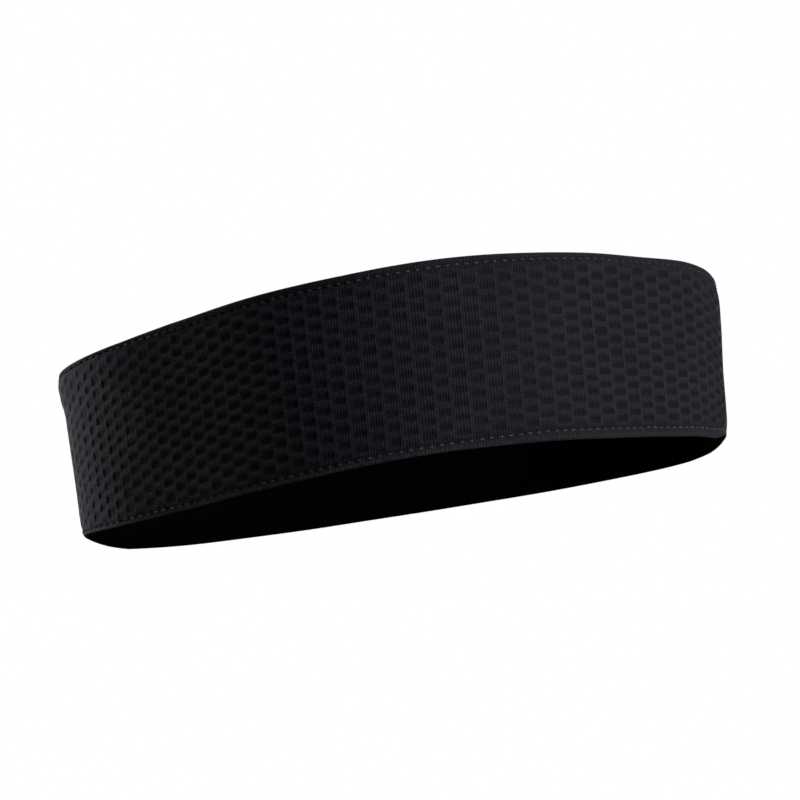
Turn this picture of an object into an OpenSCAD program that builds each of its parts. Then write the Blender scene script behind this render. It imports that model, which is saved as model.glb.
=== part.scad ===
// Sports headband: a wide loop of soft knit, made as a turned and topstitched tube of two
// layers. The outer shell and the inner lining are each one strip of knit. Both long edges
// of both strips are turned in, joined along the fold, and topstitched. The ends of the
// strips butt at the back, where a flat seam closes the loop. A blank satin care label is
// sewn beside that seam on the inside.
//
// Z is up, the lower edge rests on z = 0, X runs along the loop's long side, the bowed front
// faces -Y, and the origin is under the middle of the whole loop. Millimetres.

/* [Band] */
// Height of the band from edge to edge
band_h = 50; // [40:1:80]
// Half the length of the loop, along its lower edge
half_l = 96; // [85:1:105]
// Half the depth of the loop, along its lower edge
half_d = 43; // [38:1:52]
// How many times longer the upper edge is than the lower one
flare = 1.05; // [1:0.01:1.08]
// How far the upper edge leans to the right of the lower one
lean_x = 3.5; // [-5:0.5:5]
// How far the upper edge leans to the back of the lower one
lean_y = -1; // [-5:0.5:5]

/* [Loop shape] */
// How far the front bows out and the back lies flat
front_bow = 0.075; // [0:0.005:0.08]
// How far the bow's shoulders are rounded off
shoulder = 0.02; // [0:0.005:0.03]
// How far the ends are drawn in
end_draw = 0.025; // [0:0.005:0.04]
// How far the loop hangs skewed to one side
skew = 0.035; // [-0.04:0.005:0.04]
// How far the bow's crown sits to one side
crown_side = 0.02; // [-0.03:0.005:0.03]
// How far both edges curl in at the two tight ends
edge_curl = 1; // [0:0.1:2]

/* [Cloth] */
// Thickness of the outer knit
shell_t = 0.7; // [0.5:0.1:1]
// Thickness of the lining knit
lining_t = 0.6; // [0.4:0.1:0.9]
// Depth of the turned-in edge
hem_h = 6; // [5:0.5:9]

/* [Stitching] */
// Distance of the topstitching from the edge
stitch_in = 2.2; // [1.6:0.1:4]
// Pitch of the topstitching
stitch_pitch = 2.6; // [2:0.1:4]
// Thread diameter
thread_d = 0.34; // [0.2:0.02:0.4]
// Width of the flat seam at the back
seam_w = 4.4; // [3:0.2:6]

/* [Care label] */
// Length of the label's free flap
label_l = 20; // [12:1:30]
// Height of the label
label_h = 16; // [10:1:20]
// Height of the label's lower edge above the band's lower edge
label_z = 24; // [10:1:30]
// Thickness of the label's ribbon
label_t = 0.3; // [0.2:0.05:0.5]

/* [Hidden] */

thread_r = thread_d / 2;
gap = 0.05;            // half the gap between shell and lining
slit = 0.1;            // gap inside a turned-in edge
stations = 84;         // sections round the loop
seam_t = 90;           // the back seam's angle round the loop
seam_gap = 0.07;       // half the gap between the butted ends, in degrees
middle = [-3.75, 4.4]; // brings the middle of the whole loop over the origin

shell_c = [0.10, 0.10, 0.12];
lining_c = [0.04, 0.04, 0.045];
thread_c = [0.20, 0.20, 0.23];
label_c = [0.07, 0.07, 0.08];

// ---- the loop ----------------------------------------------------------------------
// Angle t runs round the loop: 0 is the right end, 90 the back, 180 the left end and
// 270 the front. swell() is how far the soft loop departs from an ellipse.
function swell(t) = 1
    + 0.01 * (cos(t) + sin(t))
    - end_draw * cos(2 * t) + skew * sin(2 * t)
    - crown_side * cos(3 * t) + front_bow * sin(3 * t)
    + 0.005 * (cos(4 * t) + sin(4 * t))
    - 0.005 * (cos(5 * t) + cos(6 * t)) - shoulder * sin(5 * t);
function edge(t) = swell(t) * [half_l * cos(t), half_d * sin(t)];
function unit(v) = v / norm(v);
function along(t) = unit(edge(t + 0.5) - edge(t - 0.5));
function out(t) = let (a = along(t)) [a.y, -a.x];

// How much the cloth curls in at height z: nothing in the middle, all of it at an edge
curl_from = 9;
function curl(z) = let (e = min(z, band_h - z)) e >= curl_from ? 0 : pow(1 - e / curl_from, 2);

// The point of the band at angle t and height z, n outside the face between the layers
function at(t, n, z) = let (
        k = z / band_h,
        m = edge(t) * (1 + (flare - 1) * k) + [lean_x, lean_y] * k + middle,
        o = out(t),
        p = m + o * (n - edge_curl * pow(o.x, 4) * curl(z)))
    [p.x, p.y, z];

// ---- cloth strips ------------------------------------------------------------------
// Half of a strip's section, from the fold up to the middle, for cloth t thick. The first
// part is the outside of the fold and the face, the second the way back down the inside.
function fold_n(t) = gap + 2 * t + slit;
function half_face(t) = [
    [gap, t], [gap + 0.3 * t, 0.3 * t], [gap + 0.75 * t, 0], [gap + 1.4 * t, 0],
    [gap + 1.85 * t, 0.3 * t], [fold_n(t), t],
    [fold_n(t), hem_h - 0.3], [gap + 1.75 * t, hem_h + 0.9], [gap + 1.2 * t, hem_h + 2.1],
    [gap + t, hem_h + 3.3]];
function half_back(t) = [
    [gap, hem_h + 2.7], [gap + 0.3 * t, hem_h + 1.7], [gap + t + slit, hem_h],
    [gap + t + slit / 2, t], [gap + t, hem_h], [gap, hem_h]];
function flip(rows) = [for (i = [len(rows) - 1 : -1 : 0]) [rows[i].x, band_h - rows[i].y]];
// Whole section, anticlockwise seen with n to the right and z up
function strip_section(t) = concat(half_face(t), flip(half_face(t)),
                                   flip(half_back(t)), half_back(t));

// A strip swept once round the loop, from one side of the back seam to the other.
// side is 1 for the shell and -1 for the lining, whose section is the shell's mirrored.
module strip(t, side) {
    s = side > 0 ? strip_section(t)
                 : [for (i = [len(strip_section(t)) - 1 : -1 : 0])
                        [-strip_section(t)[i].x, strip_section(t)[i].y]];
    m = len(s);
    span = 360 - 2 * seam_gap;
    pts = [for (i = [0 : stations]) for (j = [0 : m - 1])
              at(seam_t + seam_gap + span * i / stations, s[j].x, s[j].y)];
    sides = [for (i = [0 : stations - 1]) for (j = [0 : m - 1])
                let (a = i * m + j, b = i * m + (j + 1) % m, c = b + m, d = a + m)
                each [[a, b, c], [a, c, d]]];
    first = [for (j = [m - 1 : -1 : 0]) j];
    last = [for (j = [0 : m - 1]) stations * m + j];
    polyhedron(points = pts, faces = concat(sides, [first, last]), convexity = 10);
}

// ---- threads -----------------------------------------------------------------------
module rod(p, q, r) {
    d = q - p;
    translate(p) rotate([0, acos(d.z / norm(d)), atan2(d.y, d.x)])
        cylinder(h = norm(d), r = r, $fn = 16);
}

// Length of the loop up to each angle, at face n and height z, for even stitches
steps = 360;
function lengths(n, z, i = 0, l = 0) = i > steps ? []
    : concat([[l, 360 * i / steps]],
             lengths(n, z, i + 1, l + norm(at(360 * (i + 1) / steps, n, z)
                                           - at(360 * i / steps, n, z))));

// A line of even stitches round the loop
module stitch_line(n, z) {
    table = lengths(n, z);
    total = table[steps][0];
    count = round(total / stitch_pitch);
    pitch = total / count;
    half = pitch * 0.36;
    for (i = [0 : count - 1]) {
        s = (i + 0.5) * pitch;
        rod(at(lookup(s - half, table), n, z), at(lookup(s + half, table), n, z), thread_r);
    }
}

// Thread that lies in the groove between the two folds of an edge
module groove_thread(z) {
    r = 0.12;
    sides = 6;
    pts = [for (i = [0 : stations - 1]) for (j = [0 : sides - 1])
              at(seam_t + 360 * i / stations, 0.02 + r * cos(360 * j / sides),
                 z + r * sin(360 * j / sides))];
    faces = [for (i = [0 : stations - 1]) for (j = [0 : sides - 1])
                let (a = i * sides + j, b = i * sides + (j + 1) % sides,
                     c = ((i + 1) % stations) * sides + (j + 1) % sides,
                     d = ((i + 1) % stations) * sides + j)
                each [[a, b, c], [a, c, d]]];
    polyhedron(points = pts, faces = faces, convexity = 10);
}

// Angle round the loop that lies s along the back from the seam
deg_per_mm = 1 / (norm(edge(seam_t + 0.5) - edge(seam_t - 0.5)));
function beside(s) = seam_t - s * deg_per_mm;

// Zigzag of stitches across the back seam, from height z0 to z1
module zigzag(n, z0, z1, w, pitch) {
    count = floor((z1 - z0) / pitch);
    for (i = [0 : count - 1]) {
        z = z0 + i * pitch;
        up = i % 2 == 0 ? 1 : -1;
        rod(at(beside(-up * w / 2), n, z), at(beside(up * w / 2), n, z + pitch * 0.3),
            thread_r);
    }
}

shell_face = gap + shell_t;                    // outside of the shell, between the hems
lining_face = gap + lining_t;                  // inside of the lining, between the hems
out_face = fold_n(shell_t);                    // outside of the shell, on the hems
in_face = fold_n(lining_t);                    // inside of the lining, on the hems
clear = 0.02;                                  // thread to cloth
flat_from = hem_h + 4;                         // the seam's zigzag stops short of the hems
stitch_out_n = out_face + thread_r + clear;
stitch_in_n = -(in_face + thread_r + 0.18);

// ---- care label --------------------------------------------------------------------
label_n = -(lining_face + 0.35);               // the label's face nearest to the lining
label_at = 5.2;                                // where the flap starts, from the seam
label_margin = 2.6;                            // sewn strip between seam and flap
label_fold = 0.3;                              // gap at the fold, where the ribbon bends
// Ribbon from s0 to s1 along the back; the free end stands clear of the lining by lift
// The ribbon stands upright, so its outline round the loop is taken at half height and
// extruded.
module ribbon(s0, s1, z0, z1, lift) {
    m = 10;
    zm = (z0 + z1) / 2;
    row = concat(
        [for (i = [0 : m]) let (k = i / m)
            at(beside(s0 + (s1 - s0) * k), label_n - lift * k * k, zm)],
        [for (i = [m : -1 : 0]) let (k = i / m)
            at(beside(s0 + (s1 - s0) * k), label_n - label_t - lift * k * k, zm)]);
    translate([0, 0, z0]) linear_extrude(height = z1 - z0)
        polygon([for (p = row) [p.x, p.y]]);
}

module outer_shell() color(shell_c) strip(shell_t, 1);
module inner_lining() color(lining_c) strip(lining_t, -1);
module top_joining_thread() color(thread_c) groove_thread(band_h - 0.22);
module bottom_joining_thread() color(thread_c) groove_thread(0.22);
module top_topstitch_needle_thread() color(thread_c)
    stitch_line(stitch_out_n, band_h - stitch_in);
module top_topstitch_bobbin_thread() color(lining_c)
    stitch_line(stitch_in_n, band_h - stitch_in);
module bottom_topstitch_needle_thread() color(thread_c)
    stitch_line(stitch_out_n, stitch_in);
module bottom_topstitch_bobbin_thread() color(lining_c)
    stitch_line(stitch_in_n, stitch_in);
module rear_seam_shell_thread() color(thread_c)
    zigzag(shell_face + thread_r + clear, flat_from, band_h - flat_from, seam_w, 1.5);
module rear_seam_lining_thread() color(lining_c)
    zigzag(-(lining_face + thread_r + 0.05), flat_from, band_h - flat_from, seam_w, 1.5);
module rear_bartack_threads() color(thread_c) {
    zigzag(out_face + thread_r + clear, stitch_in + 0.7, stitch_in + 3.6, seam_w, 0.55);
    zigzag(out_face + thread_r + clear, band_h - stitch_in - 3.4, band_h - stitch_in - 0.5,
           seam_w, 0.55);
}
module care_label_sewn_edge() color(label_c)
    ribbon(label_at - label_margin, label_at - label_fold, label_z, label_z + label_h, 0);
module care_label_flap() color(label_c)
    ribbon(label_at, label_at + label_l, label_z, label_z + label_h, 1);
module care_label_tack_thread() color(lining_c) {
    p = at(beside(label_at - label_margin / 2 - label_fold),
           label_n - label_t - thread_r - 0.05, label_z + label_h / 2);
    for (z = [label_z + 1 : 2.2 : label_z + label_h - 2.4])
        rod([p.x, p.y, z], [p.x, p.y, z + 1.6], thread_r);
}

outer_shell();
inner_lining();
top_joining_thread();
bottom_joining_thread();
top_topstitch_needle_thread();
top_topstitch_bobbin_thread();
bottom_topstitch_needle_thread();
bottom_topstitch_bobbin_thread();
rear_seam_shell_thread();
rear_seam_lining_thread();
rear_bartack_threads();
care_label_sewn_edge();
care_label_flap();
care_label_tack_thread();
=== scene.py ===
import math
import bpy
import numpy as np
from mathutils import Matrix, Vector


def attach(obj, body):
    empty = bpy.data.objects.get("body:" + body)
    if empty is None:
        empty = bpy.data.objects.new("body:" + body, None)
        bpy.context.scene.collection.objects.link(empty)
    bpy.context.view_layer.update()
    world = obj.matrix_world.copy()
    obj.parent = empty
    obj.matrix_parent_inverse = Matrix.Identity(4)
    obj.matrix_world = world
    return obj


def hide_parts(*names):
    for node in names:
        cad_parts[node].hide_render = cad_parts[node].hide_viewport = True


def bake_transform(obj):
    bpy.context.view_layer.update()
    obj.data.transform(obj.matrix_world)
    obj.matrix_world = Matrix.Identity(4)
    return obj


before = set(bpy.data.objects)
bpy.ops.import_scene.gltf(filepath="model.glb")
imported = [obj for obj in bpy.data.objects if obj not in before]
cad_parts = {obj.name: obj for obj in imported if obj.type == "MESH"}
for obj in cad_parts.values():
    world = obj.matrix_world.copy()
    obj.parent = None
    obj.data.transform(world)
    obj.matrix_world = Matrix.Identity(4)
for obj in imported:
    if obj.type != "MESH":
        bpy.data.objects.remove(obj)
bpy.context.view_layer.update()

TAU = 2 * math.pi
rng = np.random.default_rng(7)

# ======================================================================================
# The loop, the same functions as the CAD source, in millimetres
# ======================================================================================
BAND_H, HALF_L, HALF_D, FLARE, LEAN_X, LEAN_Y = 50.0, 96.0, 43.0, 1.05, 3.5, -1.0
FRONT_BOW, SHOULDER, END_DRAW, SKEW, CROWN_SIDE, EDGE_CURL = 0.075, 0.02, 0.025, 0.035, 0.02, 1.0
STITCH_IN, STITCH_PITCH, THREAD_R, SEAM_W = 2.2, 2.6, 0.17, 4.4
MID = np.array([-3.75, 4.4])
SEAM_T = 90.0


def edge(t):
    r = np.radians(t)
    c, s = np.cos, np.sin
    g = (1 + 0.01 * (c(r) + s(r)) - END_DRAW * c(2 * r) + SKEW * s(2 * r)
         - CROWN_SIDE * c(3 * r) + FRONT_BOW * s(3 * r) + 0.005 * (c(4 * r) + s(4 * r))
         - 0.005 * (c(5 * r) + c(6 * r)) - SHOULDER * s(5 * r))
    return np.stack([g * HALF_L * c(r), g * HALF_D * s(r)], -1)


def outward(t):
    a = edge(t + 0.5) - edge(t - 0.5)
    a /= np.linalg.norm(a, axis=-1, keepdims=True)
    return np.stack([a[..., 1], -a[..., 0]], -1)


def at(t, n, z):
    """The point at angle t and height z, n outside the face between the two layers."""
    t, n, z = np.broadcast_arrays(np.asarray(t, float), np.asarray(n, float), np.asarray(z, float))
    e = np.clip(np.minimum(z, BAND_H - z), 0, None)
    curl = np.where(e >= 9, 0, (1 - e / 9) ** 2)
    k = z / BAND_H
    o = outward(t)
    m = edge(t) * (1 + (FLARE - 1) * k)[..., None] + np.stack([LEAN_X * k, LEAN_Y * k], -1) + MID
    # the upper edge stands out a little at the left end, and the right end is drawn in below
    stray = (1.4 * np.exp(-((np.mod(t, 360) - 183) / 10) ** 2) * np.clip((z - 38) / 9, 0, 1)
             - 0.45 * np.exp(-((np.mod(t + 180, 360) - 185) / 16) ** 2) * np.clip((34 - z) / 12, 0, 1))
    p = m + o * (n + stray - EDGE_CURL * o[..., 0] ** 4 * curl)[..., None]
    return np.concatenate([p, z[..., None]], -1)


def drift(t, z):
    """How far the soft edges stray up and down from their even heights."""
    t = np.mod(np.asarray(t, float), 360)
    top = np.interp(t, [0, 40, 90, 140, 180, 215, 228, 245, 262, 280, 300, 320, 335, 348, 360],
                    [0.45, 0.1, -0.1, 0.1, 0.1, 0.1, 0.55, 0.3, 0.05, 0.25, 0.5, 0.75, 1.0, 0.9, 0.45])
    low = np.interp(t, [0, 5, 10, 15, 20, 26, 34, 90, 154, 162, 168, 174, 180, 186, 192, 198, 206, 215, 230,
                        248, 262, 272, 285, 300, 340, 346, 352, 356, 360],
                    [2.0, 2.4, 2.6, 2.5, 1.6, 0.6, 0.1, 0.0, 0.05, 0.9, 1.7, 2.3, 2.6, 2.3, 1.7, 1.1, 0.5, 0.15, 0.0,
                     0.0, 0.4, 0.55, 0.3, 0.0, 0.0, 0.1, 0.6, 1.2, 2.0])
    w = (2 * np.abs(z - BAND_H / 2) / BAND_H) ** 3
    r = np.radians(t)
    # and how much nearer the edge the topstitching runs than its even distance
    e = np.clip(np.minimum(z, BAND_H - z), 0, None)
    h = (1 - np.exp(-(e / 1.6) ** 2)) * np.exp(-(e / 9) ** 2)
    near_top = np.interp(t, [0, 60, 120, 180, 205, 218, 232, 262, 285, 302, 360], [0.8, 0.2, 0.2, 0.8, 1.4, 1.2, 0.1, 0.0, 0.3, 0.8, 0.8])
    near_low = np.interp(t, [0, 60, 120, 180, 228, 255, 270, 290, 345, 360], [-0.2, 0.0, 0.1, 0.7, 1.0, 0.6, 0.3, -0.4, -0.4, -0.2])
    return np.where(z > BAND_H / 2, (top + 0.06 * np.sin(13 * r + 2.1)) * w + near_top * h,
                    (low + 0.03 + 0.03 * np.sin(15 * r + 0.6)) * w - near_low * h)


def lengths(n, z, steps=7200):
    """Angles from the back seam once round, and the length of the loop up to each."""
    t = SEAM_T + 360 * np.arange(steps + 1) / steps
    p = at(t, n, z)
    return t, np.concatenate([[0], np.cumsum(np.linalg.norm(np.diff(p, axis=0), axis=1))])


# ======================================================================================
# Mesh helpers
# ======================================================================================
def make(name, verts, faces, mat, uv=None, attrs=None, smooth=True):
    """A mesh object from points in millimetres and a list of face arrays."""
    me = bpy.data.meshes.new(name)
    v = np.asarray(verts, np.float64).reshape(-1, 3) * 0.001
    faces = [np.asarray(f, np.int32) for f in faces if len(f)]
    loops = np.concatenate([f.ravel() for f in faces])
    sizes = np.concatenate([np.full(len(f), f.shape[1], np.int32) for f in faces])
    starts = np.concatenate([[0], np.cumsum(sizes)[:-1]]).astype(np.int32)
    me.vertices.add(len(v)); me.loops.add(len(loops)); me.polygons.add(len(sizes))
    me.vertices.foreach_set("co", v.astype(np.float32).ravel())
    me.loops.foreach_set("vertex_index", loops)
    me.polygons.foreach_set("loop_start", starts)
    me.polygons.foreach_set("loop_total", sizes)
    me.polygons.foreach_set("use_smooth", np.full(len(sizes), smooth, bool))
    me.update(calc_edges=True)
    if uv is not None:
        layer = me.uv_layers.new(name="knit")
        layer.data.foreach_set("uv", np.asarray(uv, np.float32).reshape(-1, 2)[loops].ravel())
    for key, val in (attrs or {}).items():
        a = me.attributes.new(key, "FLOAT", "POINT")
        a.data.foreach_set("value", np.asarray(val, np.float32).ravel())
    me.validate(clean_customdata=False)
    ob = bpy.data.objects.new(name, me)
    bpy.context.scene.collection.objects.link(ob)
    me.materials.append(mat)
    return ob


def grid_faces(rows, cols, wrap_cols=False, offset=0, flip=False):
    """Quads of a grid whose point (i, j) has the index i * cols + j."""
    i = np.arange(rows - 1)[:, None]
    j = np.arange(cols if wrap_cols else cols - 1)[None, :]
    j2 = (j + 1) % cols
    q = np.stack(np.broadcast_arrays(i * cols + j, i * cols + j2, (i + 1) * cols + j2, (i + 1) * cols + j), -1)
    q = q.reshape(-1, 4) + offset
    return q[:, ::-1] if flip else q


def threads(name, centre, ref, radius, mat, sides=10, lobes=0.16, turns=1.5, shade=1.0):
    """Short lengths of two-ply thread. centre and ref are (count, points, 3), radius (count, points)."""
    m, p, _ = centre.shape
    tan = np.gradient(centre, axis=1)
    tan /= np.linalg.norm(tan, axis=-1, keepdims=True)
    side = np.cross(tan, ref)
    side /= np.linalg.norm(side, axis=-1, keepdims=True)
    up = np.cross(side, tan)
    ph = TAU * np.arange(sides) / sides
    tw = TAU * turns * np.arange(p) / (p - 1)
    r = radius[:, :, None] * (1 + lobes * np.cos(2 * (ph[None, None, :] - tw[None, :, None])))
    v = (centre[:, :, None, :] + r[..., None] * (np.cos(ph)[None, None, :, None] * up[:, :, None, :]
                                                 + np.sin(ph)[None, None, :, None] * side[:, :, None, :]))
    quads = []
    base = grid_faces(p, sides, wrap_cols=True)
    quads = (base[None] + (np.arange(m) * p * sides)[:, None, None]).reshape(-1, 4)
    cap0 = (np.arange(sides)[::-1][None] + (np.arange(m) * p * sides)[:, None])
    cap1 = (np.arange(sides)[None] + (p - 1) * sides + (np.arange(m) * p * sides)[:, None])
    # along the thread, and a value of its own for each stitch
    u = np.broadcast_to((np.arange(p) / (p - 1))[None, :, None], (m, p, sides))
    w = np.broadcast_to((ph / TAU)[None, None, :], (m, p, sides))
    tone = np.broadcast_to(rng.random(m)[:, None, None], (m, p, sides))
    ob = make(name, v, [quads[:, ::-1], cap0[:, ::-1], cap1[:, ::-1]], mat,
              uv=np.stack([u, w], -1), attrs={"tone": tone,
                                                   "shade": np.broadcast_to(np.reshape(shade, (-1, 1, 1)), (m, p, sides))})
    return ob


# ======================================================================================
# Materials
# ======================================================================================
class Nodes:
    def __init__(self, name):
        self.mat = bpy.data.materials.new(name)
        self.mat.use_nodes = True
        self.t = self.mat.node_tree
        self.t.nodes.clear()
        self.out = self.t.nodes.new("ShaderNodeOutputMaterial")
        self.bsdf = self.t.nodes.new("ShaderNodeBsdfPrincipled")
        self.link(self.bsdf.outputs[0], self.out.inputs[0])

    def link(self, a, b):
        self.t.links.new(a, b)

    def new(self, kind, **props):
        n = self.t.nodes.new(kind)
        for k, v in props.items():
            setattr(n, k, v)
        return n

    def put(self, socket, value):
        if isinstance(value, bpy.types.NodeSocket):
            self.link(value, socket)
        else:
            socket.default_value = value

    def math(self, op, a, b=0.0, c=0.0, clamp=False):
        n = self.new("ShaderNodeMath", operation=op, use_clamp=clamp)
        self.put(n.inputs[0], a); self.put(n.inputs[1], b); self.put(n.inputs[2], c)
        return n.outputs[0]

    def attr(self, name):
        return self.new("ShaderNodeAttribute", attribute_name=name).outputs["Fac"]

    def mix(self, fac, a, b):
        n = self.new("ShaderNodeMix", data_type="RGBA")
        self.put(n.inputs["Factor"], fac)
        self.put(n.inputs[6], a); self.put(n.inputs[7], b)
        return n.outputs[2]

    def noise(self, scale, detail=2.0, rough=0.5, vector=None):
        n = self.new("ShaderNodeTexNoise")
        n.inputs["Scale"].default_value = scale
        n.inputs["Detail"].default_value = detail
        n.inputs["Roughness"].default_value = rough
        if vector is not None:
            self.link(vector, n.inputs["Vector"])
        return n.outputs["Fac"]

    def bump(self, height, strength, distance, normal=None):
        n = self.new("ShaderNodeBump")
        n.inputs["Strength"].default_value = strength
        n.inputs["Distance"].default_value = distance
        self.link(height, n.inputs["Height"])
        if normal is not None:
            self.link(normal, n.inputs["Normal"])
        return n.outputs[0]

    def object_coords(self):
        return self.new("ShaderNodeTexCoord").outputs["Object"]

    def knit_uv(self):
        n = self.new("ShaderNodeUVMap", uv_map="knit")
        s = self.new("ShaderNodeSeparateXYZ")
        self.link(n.outputs[0], s.inputs[0])
        return s.outputs[0], s.outputs[1]


def rgb(r, g, b):
    return (r, g, b, 1.0)


def shell_material():
    m = Nodes("shell_knit")
    u, v = m.knit_uv()                       # u counts knit columns, v counts cell rows
    cell = m.attr("cell")                    # 1 on the floor of a sunk cell
    rim = m.attr("rim")                      # 1 on the plain rim outside the topstitching
    obj = m.object_coords()
    # fine wales (6 to a column) and courses (8 to a cell row)
    wale = m.math("COSINE", m.math("MULTIPLY", u, TAU * 6))
    zig = m.math("ABSOLUTE", m.math("SUBTRACT", m.math("FRACT", m.math("MULTIPLY", u, 6.0)), 0.5))
    course = m.math("COSINE", m.math("MULTIPLY", m.math("ADD", m.math("MULTIPLY", v, 8.0), zig), TAU))
    wale01 = m.math("MULTIPLY_ADD", wale, 0.5, 0.5)
    knit = m.math("ADD", m.math("MULTIPLY", wale01, 0.65), m.math("MULTIPLY", m.math("MULTIPLY_ADD", course, 0.5, 0.5), 0.35))
    fuzz = m.noise(2600.0, 3.0, 0.65, obj)
    patch = m.noise(38.0, 2.0, 0.5, obj)
    # where a point lies in its cell: across is 0 at the column's middle, sv runs up the cell
    odd = m.math("MULTIPLY", m.math("MODULO", m.math("FLOOR", u), 2.0), 0.5)
    rag = m.math("SUBTRACT", m.noise(1100.0, 2.0, 0.6, obj), 0.5)
    sv = m.math("SUBTRACT", m.math("FRACT", m.math("ADD", m.math("ADD", v, odd), 0.5)), 0.5)
    across = m.math("ABSOLUTE", m.math("SUBTRACT", m.math("FRACT", u), 0.5))
    # the ribs hang down into the cell from above, so its upper edge is a comb and its lower one straight
    upper = m.math("MULTIPLY", m.math("SUBTRACT", wale01, 0.35), m.math("MULTIPLY_ADD", sv, 1.0, 0.12, clamp=True))
    rise = m.math("DIVIDE", m.math("ABSOLUTE", m.math("ADD", sv, m.math("MULTIPLY", upper, 0.75))), 0.262)
    d4 = m.math("ADD", m.math("POWER", m.math("DIVIDE", across, 0.425), 4.0), m.math("POWER", rise, 4.0))
    cell_shade_mask = m.math("MULTIPLY", m.math("SUBTRACT", m.math("MULTIPLY_ADD", rag, 1.1, 1.2), d4), 1.9, clamp=True)
    cell_shade_mask = m.math("MULTIPLY", cell_shade_mask, m.math("MULTIPLY_ADD", cell, 2.2, 0.35, clamp=True))
    # colour: pale blocks, thin paler wales between the columns, and painted shade that darkens the sunk cells
    block = m.mix(m.math("MULTIPLY", knit, 0.85), rgb(0.0118, 0.0117, 0.0160), rgb(0.0208, 0.0206, 0.0269))
    ridge = m.math("MULTIPLY_ADD", m.math("SUBTRACT", 0.5, across), -14.0, 1.0, clamp=True)
    block = m.mix(m.math("MULTIPLY", ridge, 0.28), block, rgb(0.0270, 0.0268, 0.0345))
    # painted shade: a sunk cell's floor colour is far darker than the knit, standing in for the shade inside the cell
    floor = m.mix(m.math("MULTIPLY", m.math("POWER", wale01, 1.5), 0.5), rgb(0.0012, 0.0012, 0.0018), rgb(0.0105, 0.0104, 0.0140))
    # the last half row beside the topstitching belongs to the blocks
    col = m.mix(m.math("MULTIPLY", m.math("MULTIPLY", cell_shade_mask, m.attr("deep")), m.attr("body")), block, floor)
    plain = m.mix(m.math("MULTIPLY", knit, 0.5), rgb(0.0140, 0.0140, 0.0180), rgb(0.0200, 0.0200, 0.0250))
    # painted light: the lower fold of the plain rim is lightened where light falls on it
    plain = m.mix(m.attr("edge_lip_and_painted_light"), plain, rgb(0.0330, 0.0330, 0.0400))
    col = m.mix(rim, col, plain)
    # painted shade: the colour is darkened in the groove beside the stitches and along parts of both rims
    col = m.mix(m.math("MULTIPLY", m.attr("painted_shade"), 0.62), col, rgb(0.0040, 0.0040, 0.0054))
    # lint and the way the knit's shade drifts
    tone = m.math("MULTIPLY_ADD", m.math("SUBTRACT", fuzz, 0.5), 4.8, 1.0)
    tone = m.math("MULTIPLY", tone, m.math("MULTIPLY_ADD", m.math("SUBTRACT", patch, 0.5), 0.5, 1.0))
    hsv = m.new("ShaderNodeHueSaturation")
    m.link(col, hsv.inputs["Color"]); m.link(tone, hsv.inputs["Value"])
    m.link(hsv.outputs[0], m.bsdf.inputs["Base Color"])
    b = m.bsdf
    rough = m.math("MULTIPLY_ADD", fuzz, 0.22, 0.66)
    m.link(rough, b.inputs["Roughness"])
    b.inputs["Specular IOR Level"].default_value = 0.16
    b.inputs["Sheen Weight"].default_value = 0.12
    b.inputs["Sheen Roughness"].default_value = 0.45
    b.inputs["Sheen Tint"].default_value = rgb(0.78, 0.82, 1.0)
    n1 = m.bump(knit, 0.75, 0.00016)
    n2 = m.bump(fuzz, 0.35, 0.00012, n1)
    m.link(n2, b.inputs["Normal"])
    return m.mat


def lining_material():
    m = Nodes("lining_knit")
    u, v = m.knit_uv()                       # millimetres round and up
    obj = m.object_coords()
    wale = m.math("COSINE", m.math("MULTIPLY", u, TAU / 0.62))
    zig = m.math("ABSOLUTE", m.math("SUBTRACT", m.math("FRACT", m.math("DIVIDE", u, 0.62)), 0.5))
    course = m.math("COSINE", m.math("MULTIPLY", m.math("ADD", m.math("DIVIDE", v, 0.5), zig), TAU))
    knit = m.math("ADD", m.math("MULTIPLY", wale, 0.3), m.math("MULTIPLY_ADD", course, 0.2, 0.5))
    nap = m.noise(1500.0, 4.0, 0.7, obj)
    patch = m.noise(60.0, 2.0, 0.5, obj)
    fac = m.math("MULTIPLY", m.math("ADD", knit, nap), 0.5, clamp=True)
    # the lining is black knit, and its colour is darkened further as painted shade for the inside of the loop
    col = m.mix(fac, rgb(0.0016, 0.0016, 0.0019), rgb(0.0068, 0.0068, 0.0077))
    tone = m.math("MULTIPLY_ADD", m.math("SUBTRACT", patch, 0.5), 0.5, 1.0)
    hsv = m.new("ShaderNodeHueSaturation")
    m.link(col, hsv.inputs["Color"]); m.link(tone, hsv.inputs["Value"])
    m.link(hsv.outputs[0], m.bsdf.inputs["Base Color"])
    b = m.bsdf
    m.link(m.math("MULTIPLY_ADD", nap, 0.15, 0.8), b.inputs["Roughness"])
    b.inputs["Specular IOR Level"].default_value = 0.04
    b.inputs["Sheen Weight"].default_value = 0.006
    b.inputs["Sheen Roughness"].default_value = 0.6
    n1 = m.bump(knit, 0.5, 0.00012)
    n2 = m.bump(nap, 0.5, 0.0002, n1)
    m.link(n2, b.inputs["Normal"])
    return m.mat


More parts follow.
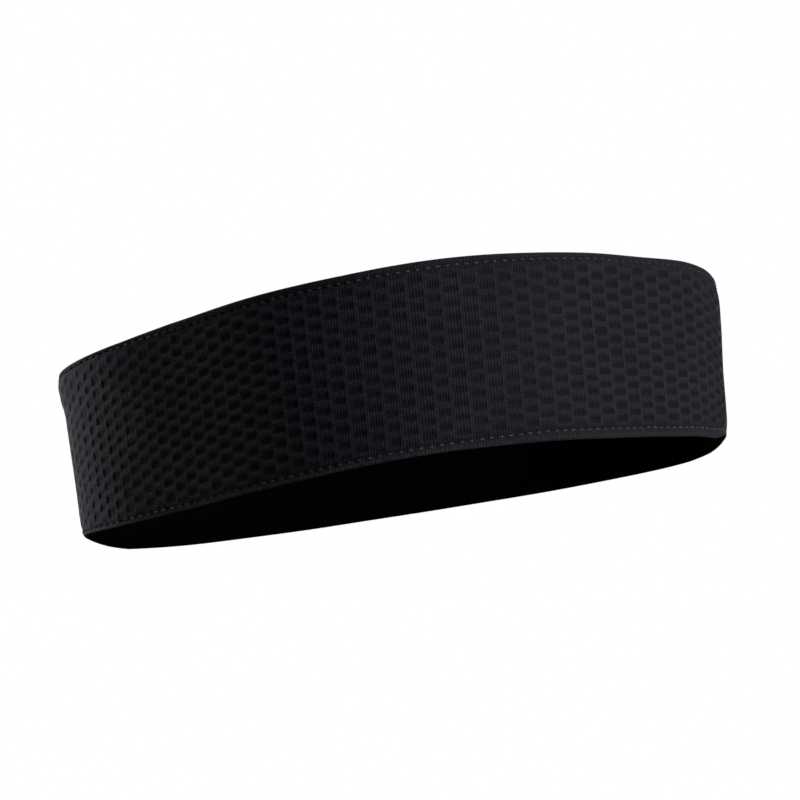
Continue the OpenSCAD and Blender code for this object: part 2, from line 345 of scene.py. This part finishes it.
def thread_material(name, dark, light, spec=0.3, painted_shade_colour=(0.014, 0.014, 0.018)):
    m = Nodes(name)
    u, w = m.knit_uv()
    obj = m.object_coords()
    ply = m.math("MULTIPLY_ADD", m.math("COSINE", m.math("MULTIPLY", m.math("SUBTRACT", w, m.math("MULTIPLY", u, 1.5)), TAU * 2)), 0.5, 0.5)
    fibre = m.noise(5200.0, 3.0, 0.6, obj)
    tone = m.attr("tone")
    fac = m.math("ADD", m.math("MULTIPLY", ply, 0.55), m.math("MULTIPLY", fibre, 0.25))
    fac = m.math("ADD", fac, m.math("MULTIPLY", tone, 0.3), clamp=True)
    col = m.mix(fac, rgb(*dark), rgb(*light))
    # painted shade: where the shade attribute is low, the thread's colour goes toward a dark grey
    col = m.mix(m.attr("shade"), rgb(*painted_shade_colour), col)
    m.link(col, m.bsdf.inputs["Base Color"])
    b = m.bsdf
    m.link(m.math("MULTIPLY_ADD", fibre, 0.2, 0.45), b.inputs["Roughness"])
    b.inputs["Specular IOR Level"].default_value = spec
    b.inputs["Sheen Weight"].default_value = 0.03
    m.link(m.bump(m.math("ADD", ply, m.math("MULTIPLY", fibre, 0.4)), 0.6, 0.00006), b.inputs["Normal"])
    return m.mat


def label_material():
    m = Nodes("label_satin")
    u, v = m.knit_uv()                       # millimetres along and across the ribbon
    obj = m.object_coords()
    warp = m.math("COSINE", m.math("MULTIPLY", v, TAU / 0.16))
    weft = m.math("COSINE", m.math("MULTIPLY", m.math("ADD", u, m.math("MULTIPLY", v, 0.5)), TAU / 0.3))
    weave = m.math("MULTIPLY_ADD", m.math("ADD", m.math("MULTIPLY", warp, 0.7), m.math("MULTIPLY", weft, 0.3)), 0.5, 0.5)
    edge_a = m.attr("selvedge")
    mott = m.noise(400.0, 2.0, 0.5, obj)
    col = m.mix(weave, rgb(0.006, 0.006, 0.007), rgb(0.016, 0.016, 0.019))
    col = m.mix(m.math("MULTIPLY", edge_a, 0.6), col, rgb(0.010, 0.010, 0.011))
    m.link(col, m.bsdf.inputs["Base Color"])
    b = m.bsdf
    m.link(m.math("MULTIPLY_ADD", mott, 0.18, 0.3), b.inputs["Roughness"])
    b.inputs["Specular IOR Level"].default_value = 0.35
    m.link(m.bump(weave, 0.35, 0.00004), b.inputs["Normal"])
    return m.mat


M_SHELL = shell_material()
M_LINING = lining_material()
M_THREAD = thread_material("thread_charcoal", (0.026, 0.026, 0.029), (0.150, 0.150, 0.162))
M_THREAD_BLACK = thread_material("thread_black", (0.0015, 0.0015, 0.0018), (0.0085, 0.0085, 0.0095), 0.08, (0.0015, 0.0015, 0.0018))
M_LABEL = label_material()

# ======================================================================================
# Outer shell: bird's-eye jacquard with real sunk cells, turned edges and pinched stitching
# ======================================================================================
ROWS = 12                                    # cell rows between the two stitch lines
Z0, Z1 = 3.0, BAND_H - 3.0
CELL_H = (Z1 - Z0) / ROWS                    # 3.67 mm
# the knit is stretched unevenly: its columns are narrow at the left end, wide at the right
t_fine, s_fine = lengths(1.2, BAND_H / 2)
pitch = 4.0 + 1.1 * np.cos(np.radians(t_fine + 25))
k_fine = np.concatenate([[0], np.cumsum(np.diff(s_fine) / ((pitch[1:] + pitch[:-1]) / 2))])
COLUMNS = int(round(k_fine[-1] / 2) * 2)
k_fine *= COLUMNS / k_fine[-1]

U = np.array([0, 0.06, 0.125, 0.33, 0.50, 0.67, 0.875, 0.94])
V = np.array([0, 0.215, 0.285, 0.50, 0.715, 0.785])
u_cell = np.array([0, 0, 1, 1, 1, 1, 1, 0.0])              # across a column
v_even = np.array([1, 1, 0, 0, 0, 1.0])                    # up a column whose cell is on the line
k_st = (np.arange(COLUMNS)[:, None] + U[None, :]).ravel()
k_st = np.append(k_st, COLUMNS)
col_i = np.minimum(np.append(np.repeat(np.arange(COLUMNS), len(U)), COLUMNS - 1), COLUMNS - 1)
u_mask = np.append(np.tile(u_cell, COLUMNS), 0.0)
u_ridge = np.append(np.tile(np.array([1, 0.15, 0, 0, 0, 0, 0, 0.15]), COLUMNS), 1.0)
n_st = len(k_st)
# columns aren't ruled: each has a little sway of its own
sway = np.interp(k_st, np.arange(COLUMNS + 1), rng.normal(0, 0.035, COLUMNS + 1))
t_st = np.interp(np.clip(k_st + sway * (k_st > 0.5) * (k_st < COLUMNS - 0.5), 0, COLUMNS), k_fine, t_fine)
SEAM_HALF = 0.0                              # the cut ends butt against each other
t_st[0] += SEAM_HALF
t_st[-1] -= SEAM_HALF

# rows of the section: (n, z, rim, relief) from the lip inside the lower hem, round the fold, up and over
foldp = [(0.16, 5.6), (0.08, 2.2), (0.10, 0.85), (0.22, 0.34), (0.44, 0.08), (0.70, 0.0), (1.02, 0.01),
         (1.20, 0.07), (1.29, 0.24), (1.30, 0.80), (1.27, 1.40), (1.18, 1.78), (1.06, 2.02), (1.00, 2.20),
         (1.06, 2.42), (1.18, 2.70)]
low = np.array(foldp)
rim_low = np.array([1] * 12 + [0.9, 0.7, 0.4, 0.15])
zr = np.append((Z0 + CELL_H * (np.arange(ROWS)[:, None] + V[None, :])).ravel(), Z1)
v_r = np.append((np.arange(ROWS)[:, None] + V[None, :]).ravel(), float(ROWS))
n_r = 1.27 + 0.10 * np.clip(np.minimum(zr - Z0, Z1 - zr) / 2.0, 0, 1)
high = np.stack([low[::-1, 0], BAND_H - low[::-1, 1]], 1)
sec_n = np.concatenate([low[:, 0], n_r, high[:, 0]])
sec_z = np.concatenate([low[:, 1], zr, high[:, 1]])
sec_rim = np.concatenate([rim_low, np.zeros(len(zr)), rim_low[::-1]])
v_low = (low[:, 1] - Z0) / CELL_H
arc_low = np.concatenate([[0], np.cumsum(np.linalg.norm(np.diff(low, axis=0), axis=1))])
v_low = -(arc_low[-1] + 0.3 - arc_low) / CELL_H
v_high = ROWS + (arc_low[-1] + 0.3 - arc_low[::-1]) / CELL_H
sec_v = np.concatenate([v_low, v_r, v_high])
n_low, n_rel = len(low), len(zr)
# the way back down the inside, hidden between the layers
back = np.array([(0.62, 44.2), (0.30, 41.4), (0.2, 33.0), (0.2, 17.0), (0.30, 8.6), (0.62, 5.8)])

S, R = n_st, len(sec_n)
TT = t_st[:, None]
N = np.broadcast_to(sec_n, (S, R)).copy()
Z = np.broadcast_to(sec_z, (S, R)).copy()

# sunk cells, proud wales and soft blocks
v_frac = np.append(np.tile(np.arange(len(V)), ROWS), 0)
even = v_even[v_frac]
cell_mask = np.zeros((S, R))
vm = np.where((col_i % 2 == 0)[:, None], even[None, :], 1 - even[None, :])
jit = 1 + 0.22 * (rng.random((COLUMNS, ROWS + 2)) - 0.5)
row_i = np.append(np.repeat(np.arange(ROWS), len(V)), ROWS)
jj = jit[col_i][:, row_i]
cm = u_mask[:, None] * vm
fade = np.clip(np.minimum(zr - Z0 + 0.25, Z1 + 0.25 - zr) / 1.2, 0, 1)
cell_mask[:, n_low:n_low + n_rel] = cm * fade[None, :]
block = u_mask[:, None] * (1 - vm)
# at some angles round the loop the cells are made shallower, and their painted shade paler
deep = np.interp(t_st, [0, 60, 150, 195, 212, 226, 256, 272, 288, 300, 345, 360], [0.95, 0.9, 0.9, 0.75, 0.6, 0.95, 0.95, 0.72, 0.70, 0.95, 1.0, 0.95])[:, None]
relief = -0.22 * cm * jj * deep + 0.03 * block + 0.03 * u_ridge[:, None]
N[:, n_low:n_low + n_rel] += relief * fade[None, :]

# topstitching pinches the cloth: deepest at the needle holes, soft puffs between
def stitch_phase(n, z):
    t, s = lengths(n, z)
    count = int(round(s[-1] / STITCH_PITCH))
    return t, s, count


STITCH_N = 1.02
lines = {}
for key, zz in (("bottom", STITCH_IN), ("top", BAND_H - STITCH_IN)):
    t_l, s_l, cnt = stitch_phase(STITCH_N + THREAD_R, zz)
    lines[key] = (t_l, s_l, cnt)
    ph = np.interp(t_st, t_l, s_l) / s_l[-1] * cnt           # whole numbers at the needle holes
    d = np.abs(Z - zz)                                       # heights before the drift
    near = np.exp(-(d / 0.55) ** 2) * (sec_n[None, :] > 0.9)
    N += near * (-0.10 * np.cos(TAU * ph)[:, None] - 0.02)
    wide = np.exp(-(d / 1.6) ** 2) * (sec_n[None, :] > 0.9)
    N += wide * 0.035 * np.sin(TAU * ph / 2 + 0.6)[:, None] * np.cos(TAU * ph / 7)[:, None]

# the loop is soft: slow unevenness of the face and of both edges
ang = np.radians(t_st)[:, None]
N += 0.16 * np.sin(5 * ang + 0.8 + 0.05 * Z) * np.sin(np.pi * Z / BAND_H) + 0.10 * np.sin(11 * ang + 0.11 * Z)
Z = Z + drift(TT, Z)
# the cloth rolls down into the seam where its ends butt
s_st = np.interp(t_st, t_fine, s_fine)
to_end = np.minimum(s_st, s_fine[-1] - s_st)
roll = np.exp(-(to_end / 0.55) ** 2)
N -= 0.45 * roll[:, None] * np.clip(sec_n[None, :] - 0.3, 0, 1)

# no two cells are quite alike: their upper and lower edges wander
pair = np.array([-1, 0, 0, -1, 1, 1])[v_frac]               # both rows of one cell edge move together
step = rng.normal(0, 0.13, (COLUMNS, ROWS + 1, 2))
wander = np.where(pair[None, :] >= 0, step[:, row_i, np.maximum(pair, 0)], 0) + rng.normal(0, 0.05, (COLUMNS, 1))
per_st = wander[col_i]
first = np.arange(S) % len(U) == 0
per_st[first] = (wander[col_i[first]] + wander[(col_i[first] - 1) % COLUMNS]) / 2
Z[:, n_low:n_low + n_rel] += per_st * fade[None, :]

face = at(np.broadcast_to(TT, N.shape), N, Z)
BN = np.broadcast_to(back[:, 0], (S, len(back)))
BZ = np.broadcast_to(back[:, 1], (S, len(back)))
hid = at(np.broadcast_to(TT, BN.shape), BN, BZ)
verts = np.concatenate([face, hid], 1)
C = verts.shape[1]
quads = grid_faces(S, C, wrap_cols=True)
caps = [np.arange(C)[::-1][None], ((S - 1) * C + np.arange(C))[None]]
uvv = np.zeros((S, C, 2))
uvv[:, :, 0] = k_st[:, None]
uvv[:, :R, 1] = sec_v[None, :]
uvv[:, R:, 1] = back[None, :, 1] / CELL_H
zero = np.zeros((S, len(back)))
# painted shade: a dark line in the groove beside each stitch row, on the top rim between about 216° and 268° where it
# faces away from the light, and on the lower rim between about 262° and 352°
painted_shade = np.exp(-((np.minimum(sec_z, BAND_H - sec_z) - 2.72) / 0.34) ** 2) * (sec_n > 0.9)
painted_shade = np.broadcast_to(painted_shade, (S, R)) + 0.95 * (sec_rim * (sec_z > BAND_H / 2))[None, :] * np.interp(t_st, [216, 230, 255, 268], [0, 1, 1, 0])[:, None]
painted_shade = painted_shade + 0.62 * (sec_rim * (sec_z > 0.9) * (sec_z < 9))[None, :] * np.interp(t_st, [262, 292, 340, 352], [0, 1, 1, 0])[:, None]
painted_shade = np.clip(painted_shade, 0, 1)
# painted light on the lower fold of the rim, strongest between about 208° and 262°; the same name also marks the
# label's thicker edges below
edge_lip_and_painted_light = (np.clip((1.3 - np.abs(sec_z - 0.25)) / 1.0, 0, 1) * (sec_n > 0.4))[None, :] * np.interp(t_st, [195, 208, 262, 290, 350, 360], [0.4, 1, 1, 0.25, 0.25, 0.4])[:, None]
body = np.zeros(R)
body[n_low:n_low + n_rel] = np.clip(fade * 1.3, 0, 1)
shell = make("outer_shell_cloth", verts, [quads, caps[0], caps[1]], M_SHELL, uv=uvv,
             attrs={"cell": np.concatenate([cell_mask, zero], 1),
                    "rim": np.concatenate([np.broadcast_to(sec_rim, (S, R)), zero], 1),
                    "body": np.concatenate([np.broadcast_to(body, (S, R)), zero], 1),
                    "deep": np.broadcast_to(deep, (S, C)),
                    "painted_shade": np.concatenate([painted_shade, zero], 1),
                    "edge_lip_and_painted_light": np.concatenate([edge_lip_and_painted_light, zero], 1)})
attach(shell, "root"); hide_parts("outer_shell")

# ======================================================================================
# Inner lining
# ======================================================================================
l_low = np.array([(0.14, 5.4), (0.09, 3.2), (0.08, 1.3), (0.11, 0.7), (0.22, 0.32), (0.40, 0.08), (0.60, 0.0), (0.82, 0.08),
                  (1.00, 0.30), (1.10, 0.60), (1.14, 1.00), (1.12, 1.45), (1.03, 1.85), (0.95, 2.2), (1.02, 2.6), (1.10, 3.1)])
l_mid_z = np.linspace(3.8, BAND_H - 3.8, 38)
l_mid_n = np.full(len(l_mid_z), 1.12)
l_high = np.stack([l_low[::-1, 0], BAND_H - l_low[::-1, 1]], 1)
ln = np.concatenate([l_low[:, 0], l_mid_n, l_high[:, 0]])
lz = np.concatenate([l_low[:, 1], l_mid_z, l_high[:, 1]])
l_back = np.array([(0.55, 44.3), (0.36, 42.6), (0.2, 40.4), (0.18, 33.0), (0.18, 25.0), (0.18, 17.0), (0.2, 9.6), (0.36, 7.4), (0.55, 5.7)])
LS = 761
lt = np.interp(np.linspace(0, 1, LS), s_fine / s_fine[-1], t_fine)
lt[0] += SEAM_HALF; lt[-1] -= SEAM_HALF
LN = np.broadcast_to(ln, (LS, len(ln))).copy()
LZ = np.broadcast_to(lz, (LS, len(lz))).copy()
bob = {}
for key, zz in (("bottom", STITCH_IN), ("top", BAND_H - STITCH_IN)):
    t_l, s_l, cnt = stitch_phase(-0.98 - THREAD_R, zz)
    bob[key] = (t_l, s_l, cnt)
    ph = np.interp(lt, t_l, s_l) / s_l[-1] * cnt
    d = np.abs(LZ - zz)
    near = np.exp(-(d / 0.6) ** 2) * (ln[None, :] > 0.9)
    LN += near * (-0.08 * np.cos(TAU * ph)[:, None])
la = np.radians(lt)[:, None]
# a soft lining is a little looser than the shell: shallow vertical ripples
LN += 0.22 * np.sin(np.pi * LZ / BAND_H) ** 2 * (np.sin(17 * la + 0.06 * LZ) * 0.5 + np.sin(29 * la + 1.3 - 0.04 * LZ) * 0.35)
LZ = LZ + drift(lt[:, None], LZ)
s_lt = np.interp(lt, t_fine, s_fine)
roll_l = np.exp(-(np.minimum(s_lt, s_fine[-1] - s_lt) / 0.55) ** 2)
LN -= 0.4 * roll_l[:, None] * np.clip(ln[None, :] - 0.3, 0, 1)
lf = at(np.broadcast_to(lt[:, None], LN.shape), -LN, LZ)
lb = at(lt[:, None], np.broadcast_to(-l_back[:, 0], (LS, len(l_back))), np.broadcast_to(l_back[:, 1], (LS, len(l_back))))
lv = np.concatenate([lf, lb], 1)
LC = lv.shape[1]
lq = grid_faces(LS, LC, wrap_cols=True, flip=True)
l_uv = np.zeros((LS, LC, 2))
l_uv[:, :, 0] = s_lt[:, None]
arc = np.concatenate([[0], np.cumsum(np.hypot(np.diff(ln), np.diff(lz)))])
l_uv[:, :len(ln), 1] = arc[None, :]
l_uv[:, len(ln):, 1] = l_back[None, :, 1]
lining = make("inner_lining_cloth", lv, [lq, np.arange(LC)[None], ((LS - 1) * LC + np.arange(LC))[::-1][None]], M_LINING, uv=l_uv)
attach(lining, "root"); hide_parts("inner_lining")


# ======================================================================================
# Threads
# ======================================================================================
def topstitch(name, node, line, z, n0, side, mat, painted_light_by_angle=((0, 360), (1, 1))):
    """Even stitches that rise from one needle hole, lie on the cloth and dive into the next."""
    t_l, s_l, cnt = line
    pitch_mm = s_l[-1] / cnt
    P = 11
    f = np.linspace(-0.5, 0.5, P)
    i = np.arange(cnt)[:, None]
    jitter = rng.normal(0, 0.035, (cnt, 1))
    s = (i + 0.5 + jitter * 0.5) * pitch_mm + f[None, :] * pitch_mm * (0.54 + jitter)
    t = np.interp(s, s_l, t_l)
    lift = 0.52 * np.clip(1 - (2 * np.abs(f)) ** 2.6, 0, 1)[None, :]
    n = n0 - 0.30 + lift
    zz = z + 0.15 * (f[None, :] * 2) + rng.normal(0, 0.03, (cnt, 1))
    c = at(t, side * n, zz + drift(t, zz))
    o = outward(t)
    ref = np.concatenate([o * side, np.zeros(o.shape[:-1] + (1,))], -1)
    r = THREAD_R * (0.85 + 0.32 * np.cos(np.pi * f))[None, :] * (1 + rng.normal(0, 0.03, (cnt, 1)))
    # painted shade: each stitch is darkened by its angle round the loop, where the stitches lie in shade
    ob = threads(name, c, ref, np.broadcast_to(r, c.shape[:2]), mat, shade=np.interp(t[:, P // 2], *painted_light_by_angle))
    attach(ob, "root"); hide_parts(node)
    return ob


# these tables give the painted shade of each needle-thread row round the loop: 1 keeps the thread's colour, lower
# values darken it
topstitch("top_needle_stitches", "top_topstitch_needle_thread", lines["top"], BAND_H - STITCH_IN, STITCH_N, 1, M_THREAD,
          ((0, 60, 120, 180, 224, 231, 260, 274, 300, 312, 360), (.6, .9, .9, .9, 1, .1, .2, .8, .8, .3, .5)))
topstitch("bottom_needle_stitches", "bottom_topstitch_needle_thread", lines["bottom"], STITCH_IN, STITCH_N, 1, M_THREAD,
          ((0, 60, 120, 180, 224, 234, 260, 274, 290, 345, 360), (.7, .9, .9, .9, .9, .2, .15, .8, .9, .8, .7)))
topstitch("top_bobbin_stitches", "top_topstitch_bobbin_thread", bob["top"], BAND_H - STITCH_IN, 0.97, -1, M_THREAD_BLACK)
topstitch("bottom_bobbin_stitches", "bottom_topstitch_bobbin_thread", bob["bottom"], STITCH_IN, 0.97, -1, M_THREAD_BLACK)

D_PER_MM = 1 / np.linalg.norm(edge(np.array(SEAM_T + 0.5)) - edge(np.array(SEAM_T - 0.5)))


def beside(s):
    return SEAM_T - np.asarray(s, float) * D_PER_MM


def seam_rungs(name, node, n0, side, z_from, z_to, gap_z, width, mat, slant):
    """A flat seam: zigzag thread laid over the butted ends, each rung diving in at both sides."""
    spans = [(z_from, z_to)] if np.isscalar(z_from) else list(zip(z_from, z_to))
    rows = []
    for a, b in spans:
        m = int((b - a) / gap_z)
        for i in range(m):
            up = 1 if i % 2 == 0 else -1
            rows.append((a + i * gap_z, up))
    P = 13
    f = np.linspace(-0.5, 0.5, P)
    zc = np.array([r[0] for r in rows])[:, None]
    up = np.array([r[1] for r in rows])[:, None]
    s = up * f[None, :] * width
    z = zc + slant * (f[None, :] + 0.5)
    nn = n0 - 0.26 + 0.40 * np.clip(1 - (2 * np.abs(f)) ** 6, 0, 1)[None, :] + 0 * s
    t = beside(s)
    c = at(t, side * nn, z)
    o = outward(t)
    ref = np.concatenate([o * side, np.zeros(o.shape[:-1] + (1,))], -1)
    r = np.full(c.shape[:2], THREAD_R)
    ob = threads(name, c, ref, r, mat, turns=4)
    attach(ob, "root"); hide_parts(node)
    return ob


seam_rungs("rear_seam_zigzag", "rear_seam_shell_thread", 1.40, 1, 7.6, BAND_H - 7.2, 1.05, SEAM_W, M_THREAD, 1.05)
seam_rungs("rear_seam_inner_zigzag", "rear_seam_lining_thread", 1.14, -1, 7.6, BAND_H - 7.2, 1.05, SEAM_W, M_THREAD_BLACK, 1.05)
seam_rungs("rear_bartacks", "rear_bartack_threads", 1.36, 1, [3.2, BAND_H - 6.9], [6.9, BAND_H - 3.2], 0.33, SEAM_W * 0.8, M_THREAD, 0.33)


def groove(name, node, z):
    """The joining seam, deep in the groove between the folds of shell and lining."""
    t_l, s_l = lengths(0.0, z)
    cnt = int(round(s_l[-1] / 2.4))
    P = 7
    f = np.linspace(-0.5, 0.5, P)
    s = (np.arange(cnt)[:, None] + 0.5) * s_l[-1] / cnt + f[None, :] * s_l[-1] / cnt * 0.9
    t = np.interp(s, s_l, t_l)
    zz = np.broadcast_to(z + (0.16 if z < 25 else -0.16) * (2 * np.abs(f)) ** 2, s.shape)
    zz = zz + drift(t, zz)
    c = at(t, 0.0 + 0.05 * np.sin(f * TAU)[None, :] + 0 * s, zz)
    o = outward(t)
    ref = np.concatenate([o, np.zeros(o.shape[:-1] + (1,))], -1)
    ob = threads(name, c, ref, np.full(c.shape[:2], 0.13), M_THREAD_BLACK, sides=6)
    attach(ob, "root"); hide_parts(node)
    return ob


groove("top_joining_stitches", "top_joining_thread", BAND_H - 0.34)
groove("bottom_joining_stitches", "bottom_joining_thread", 0.34)

# ======================================================================================
# Care label: one blank satin ribbon, sewn at its edge and free beyond the fold
# ======================================================================================
L_FROM, L_TO, L_Z, L_H, L_T = 2.6, 25.2, 24.0, 16.0, 0.26
FOLD_S = 5.05
a, b = 44, 22
sx = np.linspace(L_FROM, L_TO, a)
zz = np.linspace(L_Z + 0.05, L_Z + L_H - 0.05, b)
SS, LLZ = np.meshgrid(sx, zz, indexing="ij")
free = np.clip((SS - FOLD_S) / (L_TO - FOLD_S), 0, 1)
# stands a little off the lining and cups across its width, as a woven ribbon does
nn = 1.32 + 1.05 * free ** 2 + 0.10 * free * ((LLZ - L_Z - L_H / 2) / (L_H / 2)) ** 2 + 0.05 * np.sin(SS * 0.9) * free
plan = at(beside(SS), -nn, np.full_like(SS, L_Z + L_H / 2))
lab_front = np.stack([plan[..., 0], plan[..., 1], LLZ], -1)
o3 = np.concatenate([outward(beside(SS)), np.zeros(SS.shape + (1,))], -1)
# heat-cut end and selvedges are a touch thicker than the ribbon
edge_lip_and_painted_light = np.maximum(np.exp(-((L_TO - SS) / 0.5) ** 2), np.exp(-((L_H / 2 - np.abs(LLZ - L_Z - L_H / 2)) / 0.35) ** 2))
thick = L_T * (1 + 0.35 * edge_lip_and_painted_light)
top = lab_front - o3 * (thick / 2)[..., None]
bot = lab_front + o3 * (thick / 2)[..., None]
lv2 = np.concatenate([top.reshape(-1, 3), bot.reshape(-1, 3)])
nA = a * b
q1 = grid_faces(a, b)
q2 = grid_faces(a, b, offset=nA, flip=True)
ring = np.concatenate([np.arange(a) * b, (a - 1) * b + np.arange(1, b), (np.arange(a - 1)[::-1]) * b + b - 1, np.arange(1, b - 1)[::-1]])
nxt = np.roll(ring, -1)
q3 = np.stack([ring, nxt, nxt + nA, ring + nA], 1)
lu = np.stack([SS, LLZ], -1).reshape(-1, 2)
label = make("care_label_ribbon", lv2, [q1, q2, q3], M_LABEL, uv=np.concatenate([lu, lu]),
             attrs={"selvedge": np.concatenate([edge_lip_and_painted_light.ravel(), edge_lip_and_painted_light.ravel()])})
bev = label.modifiers.new("soft", "BEVEL"); bev.width = 0.00006; bev.segments = 1; bev.limit_method = "ANGLE"
p0 = at(beside(FOLD_S - 0.45), -1.3, L_Z + 8) * 0.001
p1 = at(beside(FOLD_S + 0.75), -1.3, L_Z + 8) * 0.001
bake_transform(label)
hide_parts("care_label_sewn_edge", "care_label_flap")

# the tack stitches over the label's sewn edge
cnt = 7
P = 9
f = np.linspace(-0.5, 0.5, P)
zc = L_Z + 1.2 + 2.2 * (np.arange(cnt)[:, None] + 0.5)
z_t = zc + f[None, :] * 2.0
base = at(beside(np.full(z_t.shape, 3.6)), -(1.32 + 0.13 - 0.12 + 0.28 * np.clip(1 - (2 * np.abs(f)) ** 3, 0, 1)[None, :] + 0 * z_t), np.full_like(z_t, L_Z + L_H / 2))
c = np.stack([base[..., 0], base[..., 1], z_t], -1)
o = outward(beside(np.full(z_t.shape, 3.6)))
ref = np.concatenate([-o, np.zeros(o.shape[:-1] + (1,))], -1)
tack = threads("care_label_tack_stitches", c, ref, np.full(z_t.shape, THREAD_R), M_THREAD_BLACK)
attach(tack, "root"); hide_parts("care_label_tack_thread")

# ======================================================================================
# Stage, light and camera
# ======================================================================================
def stage_material(name, colour, strength=0.0):
    m = Nodes(name)
    if strength:
        e = m.new("ShaderNodeEmission")
        e.inputs[0].default_value = colour
        e.inputs[1].default_value = strength
        m.link(e.outputs[0], m.out.inputs[0])
    else:
        m.bsdf.inputs["Base Color"].default_value = rgb(0.34, 0.34, 0.34)
        m.bsdf.inputs["Roughness"].default_value = 0.9
        m.bsdf.inputs["Specular IOR Level"].default_value = 0.0
        m.bsdf.inputs["Emission Color"].default_value = colour
        m.bsdf.inputs["Emission Strength"].default_value = 0.8
        # one-sided, so that a view from below the floor isn't blocked by it
        geo = m.new("ShaderNodeNewGeometry")
        tr = m.new("ShaderNodeBsdfTransparent")
        mix = m.new("ShaderNodeMixShader")
        m.link(geo.outputs["Backfacing"], mix.inputs[0])
        m.link(m.bsdf.outputs[0], mix.inputs[1])
        m.link(tr.outputs[0], mix.inputs[2])
        m.link(mix.outputs[0], m.out.inputs[0])
    return m.mat


ring_n = 96
ang = TAU * np.arange(ring_n) / ring_n
floor = make("floor", np.stack([6000 * np.cos(ang), 6000 * np.sin(ang), np.full(ring_n, -0.4)], 1), [np.arange(ring_n)[None]],
             stage_material("floor_pale", rgb(0.97, 0.97, 0.97)), smooth=False)
bpy.ops.mesh.primitive_uv_sphere_add(segments=48, ring_count=24, radius=7.0, location=(0, 0, 0))
dome = bpy.context.object
dome.name = "backdrop"
dome.data.materials.append(stage_material("backdrop_white", rgb(1, 1, 1), 1.0))
for flag in ("visible_diffuse", "visible_glossy", "visible_transmission", "visible_volume_scatter", "visible_shadow"):
    setattr(dome, flag, False)
for flag in ("visible_diffuse", "visible_glossy"):
    setattr(floor, flag, False)

world = bpy.data.worlds.new("studio")
bpy.context.scene.world = world
world.use_nodes = True
world.node_tree.nodes["Background"].inputs[0].default_value = rgb(1, 1, 1)
world.node_tree.nodes["Background"].inputs[1].default_value = 0.012
bpy.context.scene.view_settings.view_transform = "Standard"


def softbox(name, towards, distance, size, watts, colour=(1, 1, 1)):
    d = bpy.data.lights.new(name, "AREA")
    d.shape = "RECTANGLE"
    d.size, d.size_y = size
    d.energy = watts
    d.color = colour
    ob = bpy.data.objects.new(name, d)
    bpy.context.scene.collection.objects.link(ob)
    v = Vector(towards).normalized()
    ob.location = Vector((0, 0, 0.025)) + v * distance
    ob.rotation_mode = "QUATERNION"
    ob.rotation_quaternion = (-v).to_track_quat("-Z", "Y")
    return ob


softbox("key_right", (0.864, -0.459, 0.208), 1.2, (0.5, 0.9), 6.0, (0.92, 0.96, 1.0))
softbox("key_front_right", (0.766, -0.643, 0.0), 1.2, (0.5, 0.9), 14.4, (0.95, 0.97, 1.0))
softbox("rim_left", (-0.925, 0.355, 0.139), 0.9, (0.25, 0.8), 7.6, (0.93, 0.965, 1.0))
softbox("fill_above", (0.34, -0.2, 0.92), 1.2, (1.2, 1.2), 1.0)
softbox("back_right", (0.30, 0.90, 0.32), 1.2, (0.8, 0.8), 12.0, (0.95, 0.97, 1.0))
softbox("back_left", (-0.50, 0.82, 0.28), 1.2, (0.6, 0.8), 6.0, (0.95, 0.97, 1.0))

F_PX, DIST, EL, AZ, ROLL, TX, TY = 1130.2, 334.6, -13.643, -3.503, -9.801, 1.61, 9.9
e, a_, r_ = math.radians(EL), math.radians(AZ), math.radians(ROLL)
backv = np.array([math.sin(a_) * math.cos(e), -math.cos(a_) * math.cos(e), math.sin(e)])
aim = np.array([MID[0], MID[1], BAND_H / 2])
pos = aim + backv * DIST
fwd = -backv
right = np.cross(fwd, [0, 0, 1]); right /= np.linalg.norm(right)
upv = np.cross(right, fwd)
right2 = math.cos(r_) * right + math.sin(r_) * upv
up2 = -math.sin(r_) * right + math.cos(r_) * upv
cam_d = bpy.data.cameras.new("camera")
cam = bpy.data.objects.new("camera", cam_d)
bpy.context.scene.collection.objects.link(cam)
m4 = Matrix.Identity(4)
for i in range(3):
    m4[i][0], m4[i][1], m4[i][2], m4[i][3] = right2[i], up2[i], -fwd[i], pos[i] * 0.001
cam.matrix_world = m4
cam_d.sensor_width = 36.0
cam_d.lens = F_PX / 800 * 36.0
cam_d.shift_x, cam_d.shift_y = -TX / 800, TY / 800
cam_d.clip_start, cam_d.clip_end = 0.01, 50
bpy.context.scene.camera = cam
